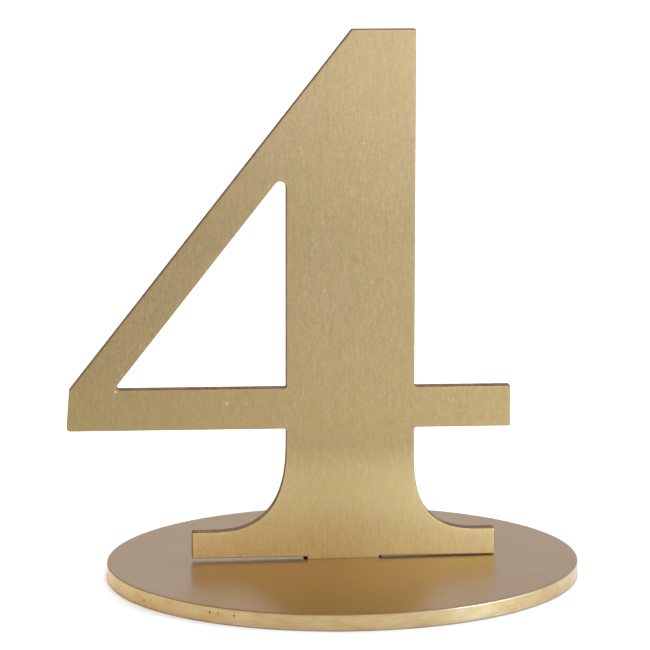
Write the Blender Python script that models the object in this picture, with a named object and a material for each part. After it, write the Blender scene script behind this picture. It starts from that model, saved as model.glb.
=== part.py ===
"""Table number holder: a flat numeral 4, cut from board, whose tenon stands in a slot through a round base disc.

Units are metres, +Z is up, and the numeral is read from -Y. The origin is on the surface that the disc stands on,
midway across the whole object.
"""

import math

import bmesh
import bpy
from mathutils import Vector

MM = 0.001

# Base disc
BASE_RADIUS = 75.0 * MM
BASE_THICKNESS = 5.2 * MM
BASE_EDGE_ROUND = 0.45 * MM
BASE_EDGE_SEGMENTS = 2
BASE_SEGMENTS = 160

# Slot through the disc, and the tenon that stands in it
TENON_LENGTH = 23.0 * MM
TENON_DEPTH = 5.0 * MM
TENON_SHIFT = 0.2 * MM
SLOT_LENGTH = 24.6 * MM
SLOT_SIDE_GAP = 0.3 * MM

# Number panel. Its frame has x to the right and z up, from the middle of the slot's mouth.
PANEL_THICKNESS = 4.3 * MM
PANEL_EDGE_ROUND = 0.2 * MM
PANEL_EDGE_SEGMENTS = 1
SEAT_TILT = math.radians(0.5)
TOP = 168.4 * MM
STEM_LEFT = -18.0 * MM
STEM_RIGHT = 22.65 * MM

FOOT_LEFT = -48.0 * MM
FOOT_RIGHT = 48.65 * MM
FOOT_BOTTOM = 0.7 * MM
FOOT_TOP = 9.1 * MM
BRACKET_LEFT_SIZE = (25.9 * MM, 31.0 * MM)
BRACKET_RIGHT_SIZE = (22.0 * MM, 26.3 * MM)
BRACKET_POWER = 2.84
BRACKET_STEPS = 18

CROSSBAR_BOTTOM = 42.3 * MM
CROSSBAR_TOP = 55.4 * MM
CROSSBAR_RIGHT = 53.3 * MM
TIP_TOP = (-86.4 * MM, 55.3 * MM)
TIP_BOTTOM = (-87.35 * MM, CROSSBAR_BOTTOM)

DIAGONAL_ANGLE = math.radians(51.8)
DIAGONAL_WIDTH = 10.9 * MM

CORNER_RADIUS = 0.35 * MM
FILLET_RADIUS = 0.9 * MM
TIP_RADIUS = 1.0 * MM
DIAGONAL_TOP_RADIUS = 0.8 * MM
OPENING_TOP_RADIUS = 1.9 * MM
ARC_CHORD = 0.35 * MM
ARC_STEPS_MIN = 3

CUTTER_MARGIN = 2.0 * MM
BEVEL_LIMIT = math.radians(35.0)
SMOOTH_LIMIT = math.radians(30.0)

# Gold paint: a satin face on the numeral, a glossier coat on the disc
NUMERAL_COLOR = (0.60, 0.44, 0.23)
NUMERAL_ROUGHNESS = 0.38
DISC_COLOR = (0.62, 0.47, 0.30)
DISC_ROUGHNESS = 0.32
PAINT_METALLIC = 0.85


def clear_scene():
    for old in list(bpy.data.objects):
        bpy.data.objects.remove(old, do_unlink=True)


def gold_paint(name, color, roughness):
    material = bpy.data.materials.new(name)
    material.use_nodes = True
    shader = material.node_tree.nodes["Principled BSDF"]
    shader.inputs["Base Color"].default_value = (*color, 1.0)
    shader.inputs["Roughness"].default_value = roughness
    shader.inputs["Metallic"].default_value = PAINT_METALLIC
    return material


def rounded_corner(before, corner, after, radius):
    """Points of an arc that rounds the corner, or the corner itself where the radius is nothing."""
    corner = Vector(corner)
    if radius <= 0.0:
        return [corner]
    to_before = (Vector(before) - corner).normalized()
    to_after = (Vector(after) - corner).normalized()
    half = to_before.angle(to_after) / 2.0
    centre = corner + (to_before + to_after).normalized() * radius / math.sin(half)
    start = corner + to_before * radius / math.tan(half) - centre
    sweep = start.angle_signed(corner + to_after * radius / math.tan(half) - centre)
    steps = max(ARC_STEPS_MIN, math.ceil(abs(sweep) * radius / ARC_CHORD))
    points = []
    for step in range(steps + 1):
        turn = -sweep * step / steps
        arm = Vector((start.x * math.cos(turn) - start.y * math.sin(turn),
                      start.x * math.sin(turn) + start.y * math.cos(turn)))
        points.append(centre + arm)
    return points


def rounded_outline(corners):
    """Closed outline through (x, z, radius) corners."""
    points = []
    for index, (x, z, radius) in enumerate(corners):
        before = corners[index - 1][:2]
        after = corners[(index + 1) % len(corners)][:2]
        points.extend(rounded_corner(before, (x, z), after, radius))
    return points


def bracket(stem_x, side, size):
    """Hollow curve from the stem down to the foot's top, a quarter of a superellipse."""
    width, height = size
    power = 2.0 / BRACKET_POWER
    curve = []
    for step in range(BRACKET_STEPS + 1):
        angle = math.pi / 2.0 * step / BRACKET_STEPS
        x = stem_x + side * width * (1.0 - math.cos(angle) ** power)
        z = FOOT_TOP + height * (1.0 - math.sin(angle) ** power)
        curve.append((x, z, 0.0))
    return curve


def numeral_outline():
    """Outer outline of the numeral and its tenon, anticlockwise as read."""
    tenon_left = TENON_SHIFT - TENON_LENGTH / 2.0
    tenon_right = TENON_SHIFT + TENON_LENGTH / 2.0
    diagonal_top = TIP_TOP[0] + (TOP - TIP_TOP[1]) / math.tan(DIAGONAL_ANGLE)
    foot_right = [
        (FOOT_LEFT, FOOT_BOTTOM, CORNER_RADIUS),
        (tenon_left, FOOT_BOTTOM, 0.0),
        (tenon_left, -TENON_DEPTH, CORNER_RADIUS),
        (tenon_right, -TENON_DEPTH, CORNER_RADIUS),
        (tenon_right, FOOT_BOTTOM, 0.0),
        (FOOT_RIGHT, FOOT_BOTTOM, CORNER_RADIUS),
        (FOOT_RIGHT, FOOT_TOP, CORNER_RADIUS),
    ]
    upper = [
        (STEM_RIGHT, CROSSBAR_BOTTOM, FILLET_RADIUS),
        (CROSSBAR_RIGHT, CROSSBAR_BOTTOM, CORNER_RADIUS),
        (CROSSBAR_RIGHT, CROSSBAR_TOP, CORNER_RADIUS),
        (STEM_RIGHT, CROSSBAR_TOP, FILLET_RADIUS),
        (STEM_RIGHT, TOP, CORNER_RADIUS),
        (diagonal_top, TOP, DIAGONAL_TOP_RADIUS),
        (*TIP_TOP, TIP_RADIUS),
        (*TIP_BOTTOM, TIP_RADIUS),
        (STEM_LEFT, CROSSBAR_BOTTOM, FILLET_RADIUS),
    ]
    right_bracket = bracket(STEM_RIGHT, 1.0, BRACKET_RIGHT_SIZE)
    left_bracket = bracket(STEM_LEFT, -1.0, BRACKET_LEFT_SIZE)
    foot_left = [(FOOT_LEFT, FOOT_TOP, CORNER_RADIUS)]
    return rounded_outline(foot_right + right_bracket[::-1] + upper + left_bracket + foot_left)


def opening_outline():
    """Triangular opening between the diagonal, the stem and the crossbar."""
    slope = math.tan(DIAGONAL_ANGLE)
    drop = DIAGONAL_WIDTH / math.cos(DIAGONAL_ANGLE)
    apex_z = TIP_TOP[1] + (STEM_LEFT - TIP_TOP[0]) * slope - drop
    toe_x = STEM_LEFT - (apex_z - CROSSBAR_TOP) / slope
    corners = [
        (toe_x, CROSSBAR_TOP, 0.0),
        (STEM_LEFT, CROSSBAR_TOP, CORNER_RADIUS),
        (STEM_LEFT, apex_z, OPENING_TOP_RADIUS),
    ]
    return rounded_outline(corners)


def prism(name, outline, depth):
    """Upright board of the given outline, its thickness centred on y = 0."""
    mesh = bpy.data.meshes.new(name)
    bm = bmesh.new()
    front = [bm.verts.new((point.x, -depth / 2.0, point.y)) for point in outline]
    face = bm.faces.new(front)
    extruded = bmesh.ops.extrude_face_region(bm, geom=[face])
    back = [item for item in extruded["geom"] if isinstance(item, bmesh.types.BMVert)]
    bmesh.ops.translate(bm, verts=back, vec=(0.0, depth, 0.0))
    bmesh.ops.recalc_face_normals(bm, faces=bm.faces)
    bm.to_mesh(mesh)
    bm.free()
    return link(name, mesh)


def disc(name, radius, height, segments):
    """Upright cylinder that stands on z = 0."""
    mesh = bpy.data.meshes.new(name)
    bm = bmesh.new()
    rim = bmesh.ops.create_circle(bm, cap_ends=True, radius=radius, segments=segments)["verts"]
    face = rim[0].link_faces[0]
    extruded = bmesh.ops.extrude_face_region(bm, geom=[face])
    top = [item for item in extruded["geom"] if isinstance(item, bmesh.types.BMVert)]
    bmesh.ops.translate(bm, verts=top, vec=(0.0, 0.0, height))
    bmesh.ops.recalc_face_normals(bm, faces=bm.faces)
    bm.to_mesh(mesh)
    bm.free()
    return link(name, mesh)


def link(name, mesh):
    obj = bpy.data.objects.new(name, mesh)
    bpy.context.scene.collection.objects.link(obj)
    return obj


def cut(body, cutter):
    cutter.parent = body
    cutter.hide_render = True
    cutter.display_type = "WIRE"
    boolean = body.modifiers.new("Cut " + cutter.name, "BOOLEAN")
    boolean.operation = "DIFFERENCE"
    boolean.solver = "EXACT"
    boolean.object = cutter


def round_edges(body, width, segments):
    bevel = body.modifiers.new("Edge round", "BEVEL")
    bevel.width = width
    bevel.segments = segments
    bevel.limit_method = "ANGLE"
    bevel.angle_limit = BEVEL_LIMIT
    bevel.use_clamp_overlap = False


def smooth(body):
    body.data.shade_smooth()
    body.data.set_sharp_from_angle(angle=SMOOTH_LIMIT)


def seat_x():
    """Where the disc's centre goes, so that the whole object is centred on x = 0."""
    reach = min(x_after_tilt(point) for point in numeral_outline())
    return -(reach + BASE_RADIUS) / 2.0


def x_after_tilt(point):
    return point.x * math.cos(SEAT_TILT) + point.y * math.sin(SEAT_TILT)


def make_base(centre_x):
    base = disc("base_disc", BASE_RADIUS, BASE_THICKNESS, BASE_SEGMENTS)
    base.location = (centre_x, 0.0, 0.0)
    half_slot = SLOT_LENGTH / 2.0
    bottom = -CUTTER_MARGIN
    top = BASE_THICKNESS + CUTTER_MARGIN
    slot = [Vector((-half_slot, bottom)), Vector((half_slot, bottom)),
            Vector((half_slot, top)), Vector((-half_slot, top))]
    cutter = prism("slot_cutter", slot, PANEL_THICKNESS + 2.0 * SLOT_SIDE_GAP)
    round_edges(base, BASE_EDGE_ROUND, BASE_EDGE_SEGMENTS)
    cut(base, cutter)
    smooth(base)
    base.data.materials.append(gold_paint("Gold painted disc", DISC_COLOR, DISC_ROUGHNESS))
    return base


def make_number(centre_x):
    panel = prism("number_panel", numeral_outline(), PANEL_THICKNESS)
    panel.location = (centre_x, 0.0, BASE_THICKNESS)
    panel.rotation_euler = (0.0, SEAT_TILT, 0.0)
    cutter = prism("opening_cutter", opening_outline(), PANEL_THICKNESS + 2.0 * CUTTER_MARGIN)
    cut(panel, cutter)
    round_edges(panel, PANEL_EDGE_ROUND, PANEL_EDGE_SEGMENTS)
    smooth(panel)
    panel.data.materials.append(gold_paint("Gold painted numeral", NUMERAL_COLOR, NUMERAL_ROUGHNESS))
    return panel


def main():
    clear_scene()
    centre_x = seat_x()
    make_base(centre_x)
    make_number(centre_x)


main()
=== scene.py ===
"""Looks of the table number holder: gold-painted board numeral standing in a slot through a round base disc.

Both pieces are rebuilt here as fine meshes in the places of the CAD nodes. Units are metres, +Z is up, and
the numeral is read from -Y.
"""

import math

import bmesh
import bpy
from mathutils import Matrix, Vector, noise
from mathutils.geometry import delaunay_2d_cdt
from mathutils.kdtree import KDTree


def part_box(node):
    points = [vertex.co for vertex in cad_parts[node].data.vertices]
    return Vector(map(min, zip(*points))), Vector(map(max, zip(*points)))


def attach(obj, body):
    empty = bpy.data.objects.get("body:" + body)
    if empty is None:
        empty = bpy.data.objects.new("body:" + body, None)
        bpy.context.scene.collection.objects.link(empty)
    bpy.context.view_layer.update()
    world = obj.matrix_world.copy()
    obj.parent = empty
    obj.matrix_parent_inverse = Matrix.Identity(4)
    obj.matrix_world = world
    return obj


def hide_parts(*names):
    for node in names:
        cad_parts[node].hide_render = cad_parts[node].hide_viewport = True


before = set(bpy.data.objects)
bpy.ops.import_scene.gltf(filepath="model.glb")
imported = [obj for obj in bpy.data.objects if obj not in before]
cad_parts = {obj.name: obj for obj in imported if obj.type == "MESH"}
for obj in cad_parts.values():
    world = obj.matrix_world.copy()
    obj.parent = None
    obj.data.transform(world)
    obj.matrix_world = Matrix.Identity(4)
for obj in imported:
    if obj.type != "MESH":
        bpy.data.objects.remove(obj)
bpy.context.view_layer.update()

MM = 0.001

# The frame: where the CAD nodes are
DISC_LOW, DISC_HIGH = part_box("base_disc")
PANEL_LOW, PANEL_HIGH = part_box("number_panel")
CENTRE_X = (DISC_LOW[0] + DISC_HIGH[0]) / 2.0
DISC_RADIUS = (DISC_HIGH[0] - DISC_LOW[0]) / 2.0
DISC_TOP = DISC_HIGH[2]
PANEL_THICKNESS = PANEL_HIGH[1] - PANEL_LOW[1]

# Numeral, in the panel's own frame: x to the right and z up, from the middle of the slot's mouth
SEAT_TILT = math.radians(0.5)
TOP = 168.4 * MM
STEM_LEFT = -18.0 * MM
STEM_RIGHT = 22.65 * MM
TENON_LENGTH = 23.0 * MM
TENON_DEPTH = 5.0 * MM
TENON_SHIFT = 0.2 * MM
FOOT_LEFT = -48.0 * MM
FOOT_RIGHT = 48.65 * MM
FOOT_BOTTOM = 0.7 * MM
FOOT_TOP = 9.1 * MM
BRACKET_LEFT_SIZE = (25.9 * MM, 31.0 * MM)
BRACKET_RIGHT_SIZE = (22.0 * MM, 26.3 * MM)
BRACKET_POWER = 2.84
CROSSBAR_BOTTOM = 42.3 * MM
CROSSBAR_TOP = 55.4 * MM
CROSSBAR_RIGHT = 53.3 * MM
TIP_TOP = (-86.4 * MM, 55.3 * MM)
TIP_BOTTOM = (-87.35 * MM, CROSSBAR_BOTTOM)
DIAGONAL_ANGLE = math.radians(51.8)
DIAGONAL_WIDTH = 10.9 * MM
CORNER_RADIUS = 0.35 * MM
FILLET_RADIUS = 0.9 * MM
TIP_RADIUS = 1.0 * MM
DIAGONAL_TOP_RADIUS = 0.8 * MM
OPENING_TOP_RADIUS = 1.9 * MM
TOE_RADIUS = 0.95 * MM

# Slot through the disc
SLOT_LENGTH = 24.6 * MM
SLOT_SIDE_GAP = 0.3 * MM
SLOT_CORNER_RADIUS = 0.3 * MM

# Fineness of the meshes
ARC_STEPS = 6
BRACKET_STEPS = 40
OUTLINE_STEP = 0.8 * MM
FACE_STEP = 1.3 * MM
DISC_FACE_STEP = 1.9 * MM
PANEL_EDGE_ROUND = 0.24 * MM
PANEL_EDGE_ROWS = 4
PANEL_WALL_ROWS = 6
SLOT_EDGE_ROUND = 0.2 * MM
DISC_EDGE_ROUND = 0.45 * MM
DISC_EDGE_ROWS = 5
RIM_ROWS = 30
RIM_STEP = 0.8 * MM
RIM_FINE_STEP = 0.12 * MM
SLOT_WALL_ROWS = 4
DETAIL_RINGS = 5
DETAIL_SPOKES = 12
FACE_CLEARANCE = 0.62
CDT_MERGE = 1e-9

# Faint unevenness of the painted faces
FACE_WAVE_DEPTH = 0.03 * MM
FACE_WAVE_LENGTH = 24.0 * MM

# Pits in the disc's rim: (degrees round from the front towards +X, height above the table, radius)
RIM_PITS = [
    (-59.1, 2.1 * MM, 0.55 * MM),
    (-56.1, 3.1 * MM, 0.32 * MM),
    (-37.0, 3.3 * MM, 0.48 * MM),
    (-34.7, 3.4 * MM, 0.34 * MM),
    (-30.5, 3.2 * MM, 0.45 * MM),
]
PIT_DEPTH_SHARE = 0.45
SPECK_FULL_DEPTH = 0.05 * MM

# Rows of edge faces next to each face that carry its paint
PAINTED_ROWS = 1

# Specks on the numeral's face, in the panel's frame: (x, z, radius, depth), raised where depth is negative
FACE_SPECKS = [
    (-71.85 * MM, 54.85 * MM, 0.65 * MM, -0.05 * MM),
    (-30.0 * MM, 3.6 * MM, 0.42 * MM, 0.025 * MM),
    (-36.8 * MM, 50.7 * MM, 0.9 * MM, -0.025 * MM),
    (6.4 * MM, 133.0 * MM, 0.6 * MM, -0.02 * MM),
]


def turned(point, angle):
    """The point turned anticlockwise round the origin."""
    return Vector((point.x * math.cos(angle) - point.y * math.sin(angle),
                   point.x * math.sin(angle) + point.y * math.cos(angle)))


# ---------------------------------------------------------------------------------------------- outlines

def rounded_corner(before, corner, after, radius):
    """Points of an arc that rounds the corner, or the corner itself where the radius is nothing."""
    corner = Vector(corner)
    if radius <= 0.0:
        return [corner]
    to_before = (Vector(before) - corner).normalized()
    to_after = (Vector(after) - corner).normalized()
    half = to_before.angle(to_after) / 2.0
    centre = corner + (to_before + to_after).normalized() * radius / math.sin(half)
    start = corner + to_before * radius / math.tan(half) - centre
    sweep = start.angle_signed(corner + to_after * radius / math.tan(half) - centre)
    return [centre + turned(start, -sweep * step / ARC_STEPS) for step in range(ARC_STEPS + 1)]


def rounded_outline(corners):
    """Closed outline through (x, z, radius) corners."""
    points = []
    for index, (x, z, radius) in enumerate(corners):
        before = corners[index - 1][:2]
        after = corners[(index + 1) % len(corners)][:2]
        points.extend(rounded_corner(before, (x, z), after, radius))
    return points


def divided(points, step):
    """The closed outline with every long side divided into equal steps."""
    fine = []
    for index, point in enumerate(points):
        after = points[(index + 1) % len(points)]
        count = max(1, round((after - point).length / step))
        fine.extend(point.lerp(after, part / count) for part in range(count))
    return fine


def bracket(stem_x, side, size):
    """Hollow curve from the stem down to the foot's top, a quarter of a superellipse."""
    width, height = size
    power = 2.0 / BRACKET_POWER
    curve = []
    for step in range(BRACKET_STEPS + 1):
        angle = math.pi / 2.0 * step / BRACKET_STEPS
        x = stem_x + side * width * (1.0 - math.cos(angle) ** power)
        z = FOOT_TOP + height * (1.0 - math.sin(angle) ** power)
        curve.append((x, z, 0.0))
    return curve


def numeral_outline():
    """Outer outline of the numeral and its tenon, anticlockwise as read."""
    tenon_left = TENON_SHIFT - TENON_LENGTH / 2.0
    tenon_right = TENON_SHIFT + TENON_LENGTH / 2.0
    diagonal_top = TIP_TOP[0] + (TOP - TIP_TOP[1]) / math.tan(DIAGONAL_ANGLE)
    foot_right = [
        (FOOT_LEFT, FOOT_BOTTOM, CORNER_RADIUS),
        (tenon_left, FOOT_BOTTOM, 0.0),
        (tenon_left, -TENON_DEPTH, CORNER_RADIUS),
        (tenon_right, -TENON_DEPTH, CORNER_RADIUS),
        (tenon_right, FOOT_BOTTOM, 0.0),
        (FOOT_RIGHT, FOOT_BOTTOM, CORNER_RADIUS),
        (FOOT_RIGHT, FOOT_TOP, CORNER_RADIUS),
    ]
    upper = [
        (STEM_RIGHT, CROSSBAR_BOTTOM, FILLET_RADIUS),
        (CROSSBAR_RIGHT, CROSSBAR_BOTTOM, CORNER_RADIUS),
        (CROSSBAR_RIGHT, CROSSBAR_TOP, CORNER_RADIUS),
        (STEM_RIGHT, CROSSBAR_TOP, FILLET_RADIUS),
        (STEM_RIGHT, TOP, CORNER_RADIUS),
        (diagonal_top, TOP, DIAGONAL_TOP_RADIUS),
        (*TIP_TOP, TIP_RADIUS),
        (*TIP_BOTTOM, TIP_RADIUS),
        (STEM_LEFT, CROSSBAR_BOTTOM, FILLET_RADIUS),
    ]
    right_bracket = bracket(STEM_RIGHT, 1.0, BRACKET_RIGHT_SIZE)
    left_bracket = bracket(STEM_LEFT, -1.0, BRACKET_LEFT_SIZE)
    foot_left = [(FOOT_LEFT, FOOT_TOP, CORNER_RADIUS)]
    return rounded_outline(foot_right + right_bracket[::-1] + upper + left_bracket + foot_left)


def opening_outline():
    """Triangular opening between the diagonal, the stem and the crossbar, clockwise as read."""
    slope = math.tan(DIAGONAL_ANGLE)
    drop = DIAGONAL_WIDTH / math.cos(DIAGONAL_ANGLE)
    apex_z = TIP_TOP[1] + (STEM_LEFT - TIP_TOP[0]) * slope - drop
    toe_x = STEM_LEFT - (apex_z - CROSSBAR_TOP) / slope
    corners = [
        (toe_x, CROSSBAR_TOP, TOE_RADIUS),
        (STEM_LEFT, CROSSBAR_TOP, CORNER_RADIUS),
        (STEM_LEFT, apex_z, OPENING_TOP_RADIUS),
    ]
    return rounded_outline(corners)[::-1]


def slot_outline():
    """The slot's mouth as seen from above, clockwise."""
    half_length = SLOT_LENGTH / 2.0
    half_width = PANEL_THICKNESS / 2.0 + SLOT_SIDE_GAP
    corners = [
        (-half_length, -half_width, SLOT_CORNER_RADIUS),
        (half_length, -half_width, SLOT_CORNER_RADIUS),
        (half_length, half_width, SLOT_CORNER_RADIUS),
        (-half_length, half_width, SLOT_CORNER_RADIUS),
    ]
    return rounded_outline(corners)[::-1]


def inward(points):
    """For each point of a closed outline, the move that brings both its sides one unit into the material.

    The material lies to the left of the direction in which the points run.
    """
    moves = []
    for index, point in enumerate(points):
        before = (point - points[index - 1]).normalized()
        after = (points[(index + 1) % len(points)] - point).normalized()
        left_before = Vector((-before.y, before.x))
        left_after = Vector((-after.y, after.x))
        moves.append((left_before + left_after) / (1.0 + left_before.dot(left_after)))
    return moves


# ------------------------------------------------------------------------------------------------ boards

def edge_profile(thickness, radius, round_rows, wall_rows):
    """(distance in from the outline, depth) of each row round a board's edge, from one face to the other."""
    rows = []
    for step in range(round_rows + 1):
        angle = math.pi / 2.0 * step / round_rows
        rows.append((radius * (1.0 - math.sin(angle)), radius * (1.0 - math.cos(angle))))
    wall = thickness - 2.0 * radius
    middle = [(0.0, radius + wall * step / wall_rows) for step in range(1, wall_rows)]
    other = [(inset, thickness - depth) for inset, depth in rows[::-1]]
    return rows + middle + other


def side_crossings(loops, y):
    """Where the loops' sides cross the line at height y."""
    crossings = []
    for loop in loops:
        for index, corner in enumerate(loop):
            other = loop[index - 1]
            if (corner.y > y) != (other.y > y):
                crossings.append(other.x + (y - other.y) / (corner.y - other.y) * (corner.x - other.x))
    return sorted(crossings)


def inside(point, loops):
    """Whether the point is on the face that the loops bound, by counting the sides to its left."""
    return sum(crossing < point.x for crossing in side_crossings(loops, point.y)) % 2 == 1


def far_from(point, near, cell, clearance):
    """Whether no point of the near cells is closer than the clearance."""
    column = int(point.x // cell)
    row = int(point.y // cell)
    for side in (-1, 0, 1):
        for rise in (-1, 0, 1):
            for other in near.get((column + side, row + rise), ()):
                if (point - other).length < clearance:
                    return False
    return True


def face_points(loops, step, details):
    """Points spread evenly over the face that the loops bound, and in small rings round each detail."""
    near = {}
    for loop in loops:
        for point in loop:
            near.setdefault((int(point.x // step), int(point.y // step)), []).append(point)
    rings = []
    for centre, radius in details:
        for ring in range(1, DETAIL_RINGS + 1):
            reach = radius * ring / DETAIL_RINGS
            rings.extend(centre + turned(Vector((reach, 0.0)), math.tau * part / DETAIL_SPOKES + ring)
                         for part in range(DETAIL_SPOKES))
        rings.append(centre)
    for point in rings:
        near.setdefault((int(point.x // step), int(point.y // step)), []).append(point)
    rise = step * math.sqrt(3.0) / 2.0
    spread = []
    bottom = min(point.y for point in loops[0])
    top = max(point.y for point in loops[0])
    for row in range(int((top - bottom) / rise)):
        y = bottom + rise * (row + 0.5)
        shift = (row % 2) * step / 2.0
        crossings = side_crossings(loops, y)
        for left, right in zip(crossings[::2], crossings[1::2]):
            for column in range(math.ceil((left - shift) / step), math.ceil((right - shift) / step)):
                point = Vector((column * step + shift, y))
                if far_from(point, near, step, FACE_CLEARANCE * step):
                    spread.append(point)
    return rings + spread


class Board:
    """A flat board with rounded edges, as points (u, v, depth) seen from its front, and its faces."""

    def __init__(self, outlines, profiles, step, details=()):
        self.points = []
        self.edge_distance = []
        self.faces = []
        self.on_wall = []
        self.first_ring = []
        self.last_ring = []
        for outline, profile in zip(outlines, profiles):
            self.add_edge(outline, profile)
        self.add_faces(step, details)

    def add_edge(self, outline, profile):
        start = len(self.points)
        rows = len(profile)
        for point, move in zip(outline, inward(outline)):
            for inset, depth in profile:
                place = point + move * inset
                self.points.append(Vector((place.x, place.y, depth)))
                self.edge_distance.append(0.0)
        count = len(outline)
        for column in range(count):
            here = start + column * rows
            there = start + (column + 1) % count * rows
            for row in range(rows - 1):
                self.faces.append((here + row, here + row + 1, there + row + 1, there + row))
                self.on_wall.append(True)
        self.first_ring.append([start + column * rows for column in range(count)])
        self.last_ring.append([start + column * rows + rows - 1 for column in range(count)])

    def add_faces(self, step, details):
        loops = [[self.points[index].xy for index in ring] for ring in self.first_ring]
        border = [point for loop in loops for point in loop]
        sides = []
        for loop in loops:
            start = len(sides)
            sides.extend((start + index, start + (index + 1) % len(loop)) for index in range(len(loop)))
        points = border + face_points(loops, step, details)
        made = delaunay_2d_cdt(points, sides, [], 2, CDT_MERGE)
        made_points, sources = made[0], made[3]
        triangles = [triangle for triangle in made[2] if self.on_face(triangle, made_points, sources, loops)]
        tree = KDTree(len(border))
        for index, point in enumerate(border):
            tree.insert((point.x, point.y, 0.0), index)
        tree.balance()
        self.add_face(made_points, triangles, sources, self.first_ring, tree, False)
        self.add_face(made_points, triangles, sources, self.last_ring, tree, True)

    def on_face(self, triangle, points, sources, loops):
        """False for a triangle that spans an opening: its corners all lie on the openings' borders."""
        first_opening = len(loops[0])
        last_border = sum(len(loop) for loop in loops)
        if all(any(first_opening <= index < last_border for index in sources[corner]) for corner in triangle):
            middle = sum((points[corner] for corner in triangle), Vector((0.0, 0.0))) / 3.0
            return inside(middle, loops)
        return True

    def add_face(self, points, triangles, sources, rings, tree, turned_over):
        ring = [index for loop in rings for index in loop]
        depth = self.points[ring[0]].z
        numbers = []
        for point, source in zip(points, sources):
            shared = [index for index in source if index < len(ring)]
            if shared:
                numbers.append(ring[shared[0]])
                continue
            numbers.append(len(self.points))
            self.points.append(Vector((point.x, point.y, depth)))
            self.edge_distance.append(tree.find((point.x, point.y, 0.0))[2])
        for triangle in triangles:
            face = tuple(numbers[index] for index in triangle)
            self.faces.append(face[::-1] if turned_over else face)
            self.on_wall.append(False)

    def mesh(self, name, place, materials, material_of):
        """The board's mesh, each point moved by place(), and each face's material chosen by material_of()."""
        mesh = bpy.data.meshes.new(name)
        mesh.from_pydata([place(point) for point in self.points], [], self.faces)
        for material in materials:
            mesh.materials.append(material)
        for index, polygon in enumerate(mesh.polygons):
            polygon.material_index = material_of(self, index)
        add_values(mesh, "edge_distance", self.edge_distance)
        mesh.shade_smooth()
        mesh.validate()
        return mesh


def add_values(mesh, name, values):
    attribute = mesh.attributes.new(name, "FLOAT", "POINT")
    attribute.data.foreach_set("value", values)


def show(name, mesh):
    obj = bpy.data.objects.new(name, mesh)
    bpy.context.scene.collection.objects.link(obj)
    even = obj.modifiers.new("Even shading", "WEIGHTED_NORMAL")
    even.keep_sharp = True
    return obj


# ------------------------------------------------------------------------------------------------ pieces

def wave(point, seed):
    """Depth of the painted face's faint unevenness at a point."""
    turn = noise.noise(Vector((point.x / FACE_WAVE_LENGTH, point.y / FACE_WAVE_LENGTH, seed)))
    return FACE_WAVE_DEPTH * (0.5 + 0.5 * turn)


def dent_share(distance, radius):
    """How deep a dent is at a distance from its middle, from 1 down to 0 at its edge."""
    if distance >= radius:
        return 0.0
    return (1.0 - (distance / radius) ** 2) ** 2


def make_numeral(materials):
    """Numeral and tenon, turned a little in its slot as the CAD node is."""
    outlines = [divided(numeral_outline(), OUTLINE_STEP), divided(opening_outline(), OUTLINE_STEP)]
    profile = edge_profile(PANEL_THICKNESS, PANEL_EDGE_ROUND, PANEL_EDGE_ROWS, PANEL_WALL_ROWS)
    details = [(Vector((x, z)), radius) for x, z, radius, _ in FACE_SPECKS]
    board = Board(outlines, [profile, profile], FACE_STEP, details)
    speck = [speck_at(point) for point in board.points]
    seat = Matrix.Translation((CENTRE_X, 0.0, DISC_TOP)) @ Matrix.Rotation(SEAT_TILT, 4, "Y")

    def place(point):
        into = wave(point, 1.0) * share_on_face(point.z)
        into_back = wave(point, 5.0) * share_on_face(PANEL_THICKNESS - point.z)
        depth = point.z + into - into_back + speck_depth(point)
        return seat @ Vector((point.x, depth - PANEL_THICKNESS / 2.0, point.y))

    rows = len(profile) - 1

    def material_of(made, index):
        if not made.on_wall[index]:
            return 0
        row = index % rows
        return 0 if row < PAINTED_ROWS or row >= rows - PAINTED_ROWS else 1

    mesh = board.mesh("numeral", place, materials, material_of)
    add_values(mesh, "speck", speck)
    return show("numeral", mesh)


def share_on_face(depth):
    """1 on the face at depth 0, down to 0 where the edge's rounding ends."""
    return max(0.0, 1.0 - depth / PANEL_EDGE_ROUND)


def speck_at(point):
    """How strongly a speck shows at a point of the front face: above 0 for a dent, below 0 for a bump."""
    if point.z > 0.0:
        return 0.0
    return sum(math.copysign(min(1.0, abs(depth) / SPECK_FULL_DEPTH), depth)
               * dent_share((point.xy - Vector((x, z))).length, radius)
               for x, z, radius, depth in FACE_SPECKS)


def speck_depth(point):
    """How far the specks push a point of the front face into the board."""
    if point.z > 0.0:
        return 0.0
    return sum(depth * dent_share((point.xy - Vector((x, z))).length, radius)
               for x, z, radius, depth in FACE_SPECKS)


def rim_outline():
    """The disc's round outline, with closer points by each pit."""
    steps = int(math.tau * DISC_RADIUS / RIM_STEP)
    angles = {round(step * RIM_STEP / DISC_RADIUS, 6) for step in range(steps)}
    for degrees, _, radius in RIM_PITS:
        middle = math.radians(degrees - 90.0) % math.tau
        reach = (radius + RIM_FINE_STEP) / DISC_RADIUS
        angles = {angle for angle in angles if abs(angle - middle) > reach}
        count = math.ceil(reach * DISC_RADIUS / RIM_FINE_STEP)
        angles.update(middle + reach * step / count for step in range(-count, count + 1))
    return [Vector((DISC_RADIUS * math.cos(angle), DISC_RADIUS * math.sin(angle)))
            for angle in sorted(angles)]


def pit_share(place):
    """How deep the rim's pits are at a place on the disc, and the deepest one's radius."""
    deepest = 0.0
    size = 0.0
    for degrees, height, radius in RIM_PITS:
        angle = math.radians(degrees - 90.0)
        middle = Vector((CENTRE_X + DISC_RADIUS * math.cos(angle), DISC_RADIUS * math.sin(angle), height))
        share = dent_share((place - middle).length, radius)
        if share > deepest:
            deepest = share
            size = radius
    return deepest, size


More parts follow.
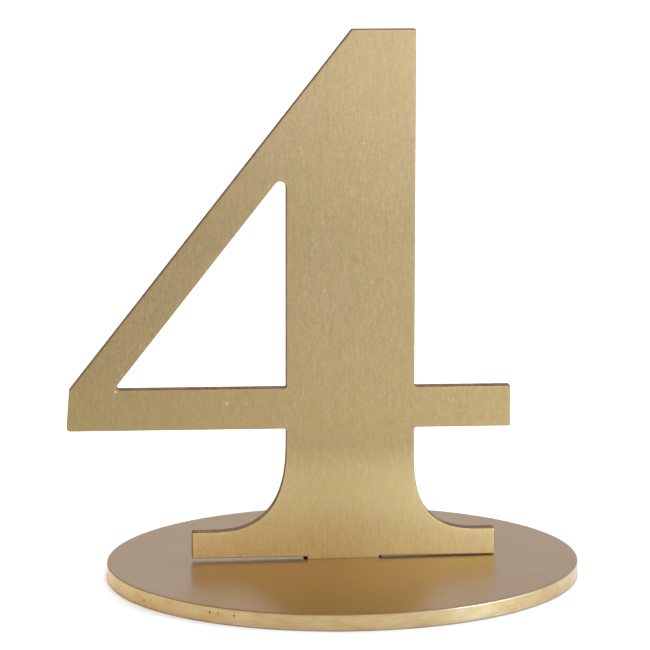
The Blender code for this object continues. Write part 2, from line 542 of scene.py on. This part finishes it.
def make_disc(materials):
    """Round base with rounded rim edges and a slot right through it."""
    outlines = [rim_outline(), divided(slot_outline(), OUTLINE_STEP)]
    rim_profile = edge_profile(DISC_TOP, DISC_EDGE_ROUND, DISC_EDGE_ROWS, RIM_ROWS)
    slot_profile = edge_profile(DISC_TOP, SLOT_EDGE_ROUND, PANEL_EDGE_ROWS, SLOT_WALL_ROWS)
    board = Board(outlines, [rim_profile, slot_profile], DISC_FACE_STEP)
    pits = []

    def place(point):
        spot = Vector((CENTRE_X + point.x, point.y, DISC_TOP - point.z))
        share, radius = pit_share(spot)
        pits.append(share)
        inward_move = Vector((-point.x, -point.y, 0.0)).normalized() * share * radius * PIT_DEPTH_SHARE
        return spot + inward_move

    rows = len(rim_profile) - 1
    rim_faces = len(outlines[0]) * rows

    def material_of(made, index):
        if not made.on_wall[index]:
            return 0
        if index >= rim_faces:
            return 2
        row = index % rows
        return 0 if row < PAINTED_ROWS or row >= rows - PAINTED_ROWS else 1

    mesh = board.mesh("disc", place, materials, material_of)
    add_values(mesh, "pit", pits)
    return show("disc", mesh)


# --------------------------------------------------------------------------------------------- materials

# Numbers of a Mix node's colour sockets, whose names it repeats for its other data types
COLOR_A = 6
COLOR_B = 7
COLOR_RESULT = 2


class Look:
    """A material's node tree round its Principled shader."""

    def __init__(self, name):
        self.material = bpy.data.materials.new(name)
        self.material.use_nodes = True
        self.tree = self.material.node_tree
        self.shader = self.tree.nodes["Principled BSDF"]

    def add(self, kind, settings=None, inputs=None):
        node = self.tree.nodes.new(kind)
        for key, value in (settings or {}).items():
            setattr(node, key, value)
        for key, value in (inputs or {}).items():
            self.feed(node, key, value)
        return node

    def feed(self, node, key, value):
        """Sets an input to a value, or links it to another node's output."""
        if isinstance(value, bpy.types.NodeSocket):
            self.tree.links.new(value, node.inputs[key])
        else:
            node.inputs[key].default_value = value

    def set(self, **inputs):
        for key, value in inputs.items():
            self.feed(self.shader, key.replace("_", " "), value)

    def place(self, scale):
        """The object's own coordinates, stretched: scale is cycles per metre along x, y and z."""
        if "Place" not in self.tree.nodes:
            self.add("ShaderNodeTexCoord", {"name": "Place"})
        source = self.tree.nodes["Place"].outputs["Object"]
        return self.add("ShaderNodeMapping", {}, {"Vector": source, "Scale": scale}).outputs["Vector"]

    def grain(self, scale, detail=2.0, roughness=0.5, distortion=0.0):
        """Noise from 0 to 1 about 0.5, with the given cycles per metre."""
        node = self.add("ShaderNodeTexNoise", {}, {
            "Vector": self.place(scale), "Scale": 1.0, "Detail": detail, "Roughness": roughness,
            "Distortion": distortion})
        return node.outputs["Fac"]

    def value(self, name):
        return self.add("ShaderNodeAttribute", {"attribute_name": name}).outputs["Fac"]

    def math(self, operation, first, second=0.0):
        node = self.add("ShaderNodeMath", {"operation": operation}, {0: first, 1: second})
        return node.outputs["Value"]

    def total(self, *parts):
        """Sum of the sources, each times its share."""
        result = 0.0
        for source, share in parts:
            inputs = {0: source, 1: share, 2: result}
            result = self.add("ShaderNodeMath", {"operation": "MULTIPLY_ADD"}, inputs).outputs["Value"]
        return result

    def along(self, axis):
        """Metres along one of the object's own axes."""
        return self.add("ShaderNodeSeparateXYZ", {}, {0: self.place((1.0, 1.0, 1.0))}).outputs[axis]

    def spread(self, source, low, high, to_low, to_high):
        """The source's range low..high mapped to to_low..to_high, and held there outside it."""
        node = self.add("ShaderNodeMapRange", {}, {
            "Value": source, "From Min": low, "From Max": high, "To Min": to_low, "To Max": to_high})
        return node.outputs["Result"]

    def mixed(self, factor, first, second, blend="MIX"):
        node = self.add("ShaderNodeMix", {"data_type": "RGBA", "blend_type": blend})
        self.feed(node, 0, factor)
        for index, color in ((COLOR_A, first), (COLOR_B, second)):
            self.feed(node, index, color if isinstance(color, bpy.types.NodeSocket) else (*color, 1.0))
        return node.outputs[COLOR_RESULT]

    def shaded(self, color, amount):
        """The colour made lighter or darker by an amount, 1 for no change."""
        grey = self.add("ShaderNodeCombineColor", {}, {0: amount, 1: amount, 2: amount}).outputs[0]
        return self.mixed(1.0, color, grey, "MULTIPLY")

    def bump(self, height, distance, under=None):
        node = self.add("ShaderNodeBump", {}, {"Height": height, "Distance": distance})
        if under is not None:
            self.feed(node, "Normal", under)
        return node.outputs["Normal"]


GOLD = (0.610, 0.405, 0.160)
GOLD_DEEP = (0.535, 0.330, 0.114)
GOLD_PALE = (0.68, 0.505, 0.250)
# Numeral gold with painted light in it: the low and middle tones are shaded, the high tone is paler and lit
NUMERAL_SHADED_LOW = (0.374, 0.275, 0.120)
NUMERAL_SHADED_MIDDLE = (0.358, 0.271, 0.1335)
NUMERAL_LIT_HIGH = (0.409, 0.318, 0.170)
# Painted reflected light: the foot's gold is lighter where the gold disc reflects light onto it, most at the
# right
NUMERAL_FOOT_REFLECTED_LIGHT = (0.752, 0.587, 0.259)
NUMERAL_FOOT_RIGHT_REFLECTED_LIGHT = (0.865, 0.740, 0.370)
NUMERAL_OLIVE = (0.990, 1.005, 0.965)
NUMERAL_BEIGE = (1.012, 0.995, 1.035)
NUMERAL_WARM = (1.10, 1.06, 0.96)
PALE_SPOT_TONE = (0.80, 0.70, 0.47)
# Gold overspray under the board, made lighter as painted light for the shaded underside
UNDER_GOLD_AND_LIGHT = (0.78, 0.54, 0.36)
BARE_DARK = (0.075, 0.040, 0.024)
EDGE_BROWN = (0.190, 0.118, 0.072)

# Metres above the table, and across from the frame's origin, between which the painted light on the numeral
# and the paint change
LIGHT_LOW_TO_MIDDLE = (0.050, 0.090)
LIGHT_MIDDLE_TO_HIGH = (0.110, 0.165)
FOOT_REFLECTED_LIGHT_TO_STEM = (0.008, 0.042)
FOOT_REFLECTED_LIGHT_LEFT_TO_RIGHT = (0.005, 0.040)
LEFT_FOOT_REFLECTED_LIGHT = (-0.045, 0.0)
# Painted shade: the face is darker towards the left and lighter towards the right, for light from the right
FACE_SIDE_LIGHT_ACROSS = (-0.070, 0.050)
GRAIN_CALM_TO_FULL = (0.01, 0.09)
WARM_EDGE_WIDTH = 1.3 * MM
RIM_TOP_BAND = 0.42 * MM
RIM_TOP_BAND_END = 0.1 * MM

# Cycles per metre of each grain, along x, y and z
STREAKS = (1500.0, 1500.0, 250.0)
GRIT = (1700.0, 1700.0, 1100.0)
BANDS = (700.0, 700.0, 90.0)
FACE_CLOUD = (60.0, 60.0, 40.0)
HUE_PATCHES = (620.0, 620.0, 90.0)
PALE_FLECKS = (1500.0, 1500.0, 420.0)
EDGE_LINES = (2600.0, 120.0, 2600.0)
EDGE_CLOUD = (220.0, 220.0, 220.0)
DISC_MOTTLE = (55.0, 55.0, 55.0)
DISC_GRAIN = (700.0, 500.0, 700.0)
DISC_FINE_GRAIN = (2600.0, 2600.0, 2600.0)
RIM_LINES = (110.0, 110.0, 3600.0)
RIM_CLOUD = (130.0, 130.0, 300.0)
RIM_FINE_GRAIN = (2400.0, 2400.0, 2400.0)
PAPER_FIBRE = (900.0, 900.0, 900.0)

# Roughness over each paint's grain, from its low end to its high end
NUMERAL_ROUGHNESS = (0.29, 0.37)
EDGE_ROUGHNESS = (0.85, 0.65)
DISC_ROUGHNESS = (0.285, 0.34)
RIM_ROUGHNESS = (0.30, 0.42)
PAPER_ROUGHNESS = 0.9

# Depth of the relief that each grain makes
NUMERAL_RELIEF = 0.010 * MM
EDGE_RELIEF = 0.03 * MM
DISC_RELIEF = 0.003 * MM
DISC_FINE_RELIEF = 0.001 * MM
RIM_RELIEF = 0.012 * MM


def numeral_paint_and_light():
    """Satin gold paint brushed upright over board, with painted light: lightest at the foot from the disc's
    painted reflected light, paler again towards the top and darker towards the left.
    """
    look = Look("numeral_paint_and_light")
    streaks = look.grain(STREAKS, 2.0, 0.55, 0.2)
    grit = look.grain(GRIT, 1.0, 0.5)
    bands = look.grain(BANDS, 1.0, 0.5)
    cloud = look.grain(FACE_CLOUD, 2.0, 0.5)
    hue = look.grain(HUE_PATCHES, 2.0, 0.5)
    weave = look.total((streaks, 0.40), (grit, 0.40), (bands, 0.12), (cloud, 0.08))
    across, height = look.along(0), look.along(2)
    # Painted light: the gold grows paler from the shaded low and middle tones towards the lit top
    middle = look.spread(height, *LIGHT_LOW_TO_MIDDLE, 0.0, 1.0)
    tone = look.mixed(middle, NUMERAL_SHADED_LOW, NUMERAL_SHADED_MIDDLE)
    tone = look.mixed(look.spread(height, *LIGHT_MIDDLE_TO_HIGH, 0.0, 1.0), tone, NUMERAL_LIT_HIGH)
    # Painted reflected light from the disc on the foot, lighter towards the right
    foot = look.spread(height, *FOOT_REFLECTED_LIGHT_TO_STEM, 1.0, 0.0)
    right = look.spread(across, *FOOT_REFLECTED_LIGHT_LEFT_TO_RIGHT, 0.0, 1.0)
    tone = look.mixed(foot, tone, look.mixed(right, NUMERAL_FOOT_REFLECTED_LIGHT, NUMERAL_FOOT_RIGHT_REFLECTED_LIGHT))
    tint = look.mixed(look.spread(hue, 0.38, 0.62, 0.0, 1.0), NUMERAL_OLIVE, NUMERAL_BEIGE)
    tone = look.mixed(1.0, tone, tint, "MULTIPLY")
    rim = look.spread(look.value("edge_distance"), 0.0, WARM_EDGE_WIDTH, 0.55, 0.0)
    tone = look.mixed(rim, tone, look.mixed(1.0, tone, NUMERAL_WARM, "MULTIPLY"))
    strength = look.spread(height, *GRAIN_CALM_TO_FULL, 0.55, 0.95)
    swing = look.math("MULTIPLY", look.math("SUBTRACT", weave, 0.5), strength)
    light = look.math("ADD", swing, 1.0)
    # Painted reflected light, lighter still on the left foot
    left_foot_reflected_light = look.math("MULTIPLY", foot, look.spread(across, *LEFT_FOOT_REFLECTED_LIGHT, 0.30, 0.0))
    # Painted shade and light across the face: darker at the left, lighter at the right
    side_light = look.math("ADD", look.spread(across, *FACE_SIDE_LIGHT_ACROSS, 0.88, 1.09), left_foot_reflected_light)
    light = look.math("MULTIPLY", light, side_light)
    light = look.math("MULTIPLY", light, look.spread(look.value("speck"), 0.0, 0.7, 1.0, 0.72))
    # Pale spots: flecks in the grain and the raised specks
    pale = look.spread(look.grain(PALE_FLECKS, 0.0, 0.5), 0.73, 0.86, 0.0, 0.14)
    pale = look.math("MAXIMUM", pale, look.spread(look.value("speck"), -0.9, 0.0, 0.75, 0.0))
    tone = look.mixed(pale, tone, PALE_SPOT_TONE)
    look.set(Base_Color=look.shaded(tone, light), Metallic=1.0)
    look.set(Roughness=look.spread(weave, 0.35, 0.65, *NUMERAL_ROUGHNESS))
    look.set(Normal=look.bump(weave, NUMERAL_RELIEF))
    return look.material


def cut_edge():
    """Burnt edge of laser-cut board under a thin gold overspray, with fine lines across its thickness; the
    down-facing sides get a gold that is partly overspray and partly painted light.
    """
    look = Look("cut_edge")
    lines = look.grain(EDGE_LINES, 2.0, 0.6)
    cloud = look.grain(EDGE_CLOUD, 3.0, 0.6)
    cover = look.math("ADD", look.math("MULTIPLY", cloud, 0.6), look.math("MULTIPLY", lines, 0.4))
    cover = look.spread(cover, 0.38, 0.62, 0.0, 1.0)
    normal = look.add("ShaderNodeTexCoord").outputs["Normal"]
    upward = look.add("ShaderNodeSeparateXYZ", {}, {0: normal}).outputs[2]
    # Down-facing sides: gold overspray made lighter than it is, as painted light for the shaded underside
    under = look.spread(upward, -0.9, -0.5, 1.0, 0.0)
    tone = look.mixed(cover, BARE_DARK, EDGE_BROWN)
    look.set(Base_Color=look.mixed(under, tone, UNDER_GOLD_AND_LIGHT))
    look.set(Metallic=look.spread(cover, 0.0, 1.0, 0.0, 0.25), Specular_IOR_Level=0.2)
    look.set(Roughness=look.spread(lines, 0.3, 0.7, *EDGE_ROUGHNESS))
    look.set(Normal=look.bump(lines, EDGE_RELIEF))
    return look.material


def disc_paint():
    """Smoother coat of the same gold on the disc, with a fine grain."""
    look = Look("disc_paint")
    mottle = look.grain(DISC_MOTTLE, 3.0, 0.5)
    grain = look.grain(DISC_GRAIN, 2.0, 0.55)
    fine = look.grain(DISC_FINE_GRAIN, 1.0, 0.5)
    light = look.spread(look.total((grain, 0.65), (fine, 0.35)), 0.35, 0.65, 0.965, 1.035)
    tone = look.mixed(look.spread(mottle, 0.25, 0.75, 0.25, 0.75), GOLD_DEEP, GOLD)
    look.set(Base_Color=look.shaded(tone, light), Metallic=1.0)
    look.set(Roughness=look.spread(look.math("ADD", grain, mottle), 0.7, 1.3, *DISC_ROUGHNESS))
    look.set(Normal=look.bump(grain, DISC_RELIEF, look.bump(fine, DISC_FINE_RELIEF)))
    return look.material


def rim_paint():
    """Gold on the disc's rim, with fine lines that run round it and dark pits."""
    look = Look("rim_paint")
    lines = look.grain(RIM_LINES, 3.0, 0.6)
    cloud = look.grain(RIM_CLOUD, 2.0, 0.5)
    fine = look.grain(RIM_FINE_GRAIN, 1.0, 0.5)
    tone = look.mixed(look.spread(cloud, 0.32, 0.68, 0.0, 1.0), GOLD, GOLD_PALE)
    weave = look.math("ADD", look.math("MULTIPLY", lines, 0.7), look.math("MULTIPLY", fine, 0.3))
    light = look.spread(weave, 0.32, 0.68, 0.68, 0.885)
    tone = look.shaded(tone, light)
    tone = look.mixed(look.spread(look.value("pit"), 0.0, 0.6, 0.0, 0.75), tone, BARE_DARK)
    # A darker, browner, rougher and less metallic band along the rim's top edge
    top_band = look.spread(look.along(2), DISC_TOP - RIM_TOP_BAND, DISC_TOP - RIM_TOP_BAND_END, 0.0, 0.6)
    look.set(Base_Color=look.mixed(top_band, tone, EDGE_BROWN))
    look.set(Metallic=look.spread(top_band, 0.0, 0.8, 1.0, 0.4))
    rough = look.spread(lines, 0.3, 0.7, *RIM_ROUGHNESS)
    look.set(Roughness=look.math("ADD", rough, look.math("MULTIPLY", top_band, 0.35)))
    look.set(Normal=look.bump(lines, RIM_RELIEF))
    return look.material


def floor_paper():
    """Matt pale paper with a faint fibre."""
    look = Look("floor_paper")
    fibre = look.grain(PAPER_FIBRE, 3.0, 0.6)
    look.set(Base_Color=look.shaded(FLOOR_WHITE, look.spread(fibre, 0.3, 0.7, 0.985, 1.015)))
    look.set(Roughness=PAPER_ROUGHNESS, Specular_IOR_Level=0.0)
    return look.material


# ------------------------------------------------------------------------------ floor, light and camera

FLOOR_WHITE = (0.86, 0.86, 0.86)
FLOOR_RADIUS = 14.0
FLOOR_SPOKES = 96


def make_floor():
    """Plain pale floor under the object, far wider than the view."""
    mesh = bpy.data.meshes.new("floor")
    bm = bmesh.new()
    bmesh.ops.create_circle(bm, cap_ends=True, radius=FLOOR_RADIUS, segments=FLOOR_SPOKES)
    bm.to_mesh(mesh)
    bm.free()
    mesh.materials.append(floor_paper())
    floor = bpy.data.objects.new("floor", mesh)
    bpy.context.scene.collection.objects.link(floor)


def direction(azimuth, elevation):
    """From the object towards a place round it: azimuth 0 is in front, and grows towards +X."""
    return Vector((math.sin(azimuth) * math.cos(elevation), -math.cos(azimuth) * math.cos(elevation),
                   math.sin(elevation)))


def add_light(name, kind, place, towards, power, color, in_reflections):
    """A lamp at a place that shines along -towards."""
    light = bpy.data.lights.new(name, kind)
    light.energy = power
    light.color = color
    lamp = bpy.data.objects.new(name, light)
    lamp.location = place
    lamp.rotation_mode = "QUATERNION"
    lamp.rotation_quaternion = towards.to_track_quat("Z", "Y")
    lamp.visible_glossy = in_reflections
    bpy.context.scene.collection.objects.link(lamp)
    return light


def soft_box(name, azimuth, elevation, distance, size, power, color):
    """Square soft box that faces the object."""
    towards = direction(math.radians(azimuth), math.radians(elevation))
    light = add_light(name, "AREA", LIGHT_TARGET + towards * distance, towards, power, color, True)
    light.size = size


def ceiling_panel(name, place, size, power, color):
    """Square panel that shines straight down on the floor, and isn't mirrored in the paint."""
    light = add_light(name, "AREA", Vector(place), Vector((0.0, 0.0, 1.0)), power, color, False)
    light.size = size


def wall_ramp(nodes, links, height, colors):
    """Colour against the sine of the height above the horizon."""
    ramp = nodes.new("ShaderNodeValToRGB")
    links.new(height, ramp.inputs["Fac"])
    stops = ramp.color_ramp.elements
    while len(stops) < len(colors):
        stops.new(1.0)
    for stop, (level, color) in zip(stops, colors):
        stop.position = level
        stop.color = (*color, 1.0)
    return ramp.outputs["Color"]


def make_world():
    """Studio wall round the horizon, under a dark ceiling that is paler straight overhead.

    The paint mirrors it. Beyond the floor's edge the camera sees a plain pale backdrop instead.
    """
    world = bpy.data.worlds.new("studio")
    bpy.context.scene.world = world
    world.use_nodes = True
    nodes = world.node_tree.nodes
    links = world.node_tree.links
    place = nodes.new("ShaderNodeTexCoord").outputs["Generated"]
    split = nodes.new("ShaderNodeSeparateXYZ")
    links.new(place, split.inputs[0])
    facing = nodes.new("ShaderNodeVectorMath")
    facing.operation = "DOT_PRODUCT"
    facing.inputs[1].default_value = WALL_FRONT
    links.new(place, facing.inputs[0])
    front = nodes.new("ShaderNodeMapRange")
    front.inputs["From Min"].default_value, front.inputs["From Max"].default_value = WALL_TURN
    links.new(facing.outputs["Value"], front.inputs["Value"])
    mixed = nodes.new("ShaderNodeMix")
    mixed.data_type = "RGBA"
    links.new(front.outputs["Result"], mixed.inputs[0])
    links.new(wall_ramp(nodes, links, split.outputs["Z"], WALL_BEHIND), mixed.inputs[COLOR_A])
    links.new(wall_ramp(nodes, links, split.outputs["Z"], WALL_AHEAD), mixed.inputs[COLOR_B])
    seen = nodes.new("ShaderNodeMix")
    seen.data_type = "RGBA"
    seen.inputs[COLOR_B].default_value = (*BACKDROP, 1.0)
    links.new(nodes.new("ShaderNodeLightPath").outputs["Is Camera Ray"], seen.inputs[0])
    links.new(mixed.outputs[COLOR_RESULT], seen.inputs[COLOR_A])
    links.new(seen.outputs[COLOR_RESULT], nodes["Background"].inputs["Color"])


NEUTRAL = (1.0, 1.0, 1.0)
WARM = (1.10, 1.0, 0.92)
COOL = (0.66, 1.0, 1.65)
FAINTLY_COOL = (0.85, 0.95, 1.2)
# (name, degrees of azimuth, degrees of elevation, metres away, metres wide, watts, colour)
SOFT_BOXES = [
    ("right", 65.0, 10.0, 0.9, 0.5, 9.0, COOL),
    ("left", -100.0, 9.0, 0.9, 0.4, 1.4, FAINTLY_COOL),
    ("front", 10.0, 3.2, 1.3, 0.29, 0.64, NEUTRAL),
]
# (name, place, metres wide, watts, colour)
CEILING_PANELS = [
    ("pool", (0.0, -0.18, 0.4), 0.2, 0.62, NEUTRAL),
    ("left_pool", (-0.28, 0.10, 0.35), 0.2, 0.16, NEUTRAL),
    ("back_pool", (0.0, 0.6, 0.8), 0.4, 2.5, WARM),
    ("sweep", (0.0, 2.2, 1.6), 3.0, 66.0, WARM),
    ("front_sweep", (0.6, -3.0, 1.6), 3.0, 52.0, WARM),
]
# (sine of the height above the horizon, colour), from the horizon to the ceiling
WALL_AHEAD = [
    (0.00, (0.72, 0.92, 1.06)),
    (0.10, (0.66, 0.76, 0.85)),
    (0.18, (0.68, 0.41, 0.330)),
    (0.30, (0.38, 0.25, 0.21)),
    (0.42, (0.22, 0.15, 0.12)),
    (0.62, (0.06, 0.05, 0.045)),
    (0.82, (0.48, 0.45, 0.42)),
]
WALL_BEHIND = [
    (0.00, (0.96, 1.05, 1.14)),
    (0.13, (0.93, 1.00, 1.14)),
    (0.27, (0.78, 0.78, 0.92)),
    (0.42, (0.30, 0.24, 0.22)),
    (0.62, (0.06, 0.05, 0.045)),
    (0.82, (0.48, 0.45, 0.42)),
]
BACKDROP = (0.96, 0.96, 0.96)
WALL_FRONT = (0.30, -0.954, 0.0)
WALL_TURN = (-0.3, 0.7)
LIGHT_TARGET = Vector((0.0, 0.0, 0.08))

CAMERA_DISTANCE = 1.04501
CAMERA_AZIMUTH = math.radians(-4.818)
CAMERA_ELEVATION = math.radians(13.518)
CAMERA_HEADING = math.radians(4.540)
CAMERA_PITCH = math.radians(9.170)
CAMERA_ROLL = math.radians(-0.431)
CAMERA_LENS = 180.43
CAMERA_SENSOR = 36.0


def make_camera():
    """The camera stands in front, a little to the left, looks down and is rolled a little."""
    forward = Vector((math.sin(CAMERA_HEADING) * math.cos(CAMERA_PITCH),
                      math.cos(CAMERA_HEADING) * math.cos(CAMERA_PITCH), -math.sin(CAMERA_PITCH)))
    level = Vector((math.cos(CAMERA_HEADING), -math.sin(CAMERA_HEADING), 0.0))
    upright = level.cross(forward)
    right = level * math.cos(CAMERA_ROLL) + upright * math.sin(CAMERA_ROLL)
    up = right.cross(forward)
    place = Vector((CENTRE_X, 0.0, 0.0)) + direction(CAMERA_AZIMUTH, CAMERA_ELEVATION) * CAMERA_DISTANCE
    data = bpy.data.cameras.new("camera")
    data.lens = CAMERA_LENS
    data.sensor_width = CAMERA_SENSOR
    camera = bpy.data.objects.new("camera", data)
    turn = Matrix((right, up, -forward)).transposed()
    camera.matrix_world = Matrix.Translation(place) @ turn.to_4x4()
    bpy.context.scene.collection.objects.link(camera)
    bpy.context.scene.camera = camera


# -------------------------------------------------------------------------------------------------- main

edge = cut_edge()
numeral = make_numeral([numeral_paint_and_light(), edge])
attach(numeral, "number")
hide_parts("number_panel")

disc = make_disc([disc_paint(), rim_paint(), edge])
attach(disc, "base")
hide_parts("base_disc")

make_floor()
make_world()
for box in SOFT_BOXES:
    soft_box(*box)
for panel in CEILING_PANELS:
    ceiling_panel(*panel)
make_camera()
bpy.context.scene.view_settings.view_transform = "Standard"
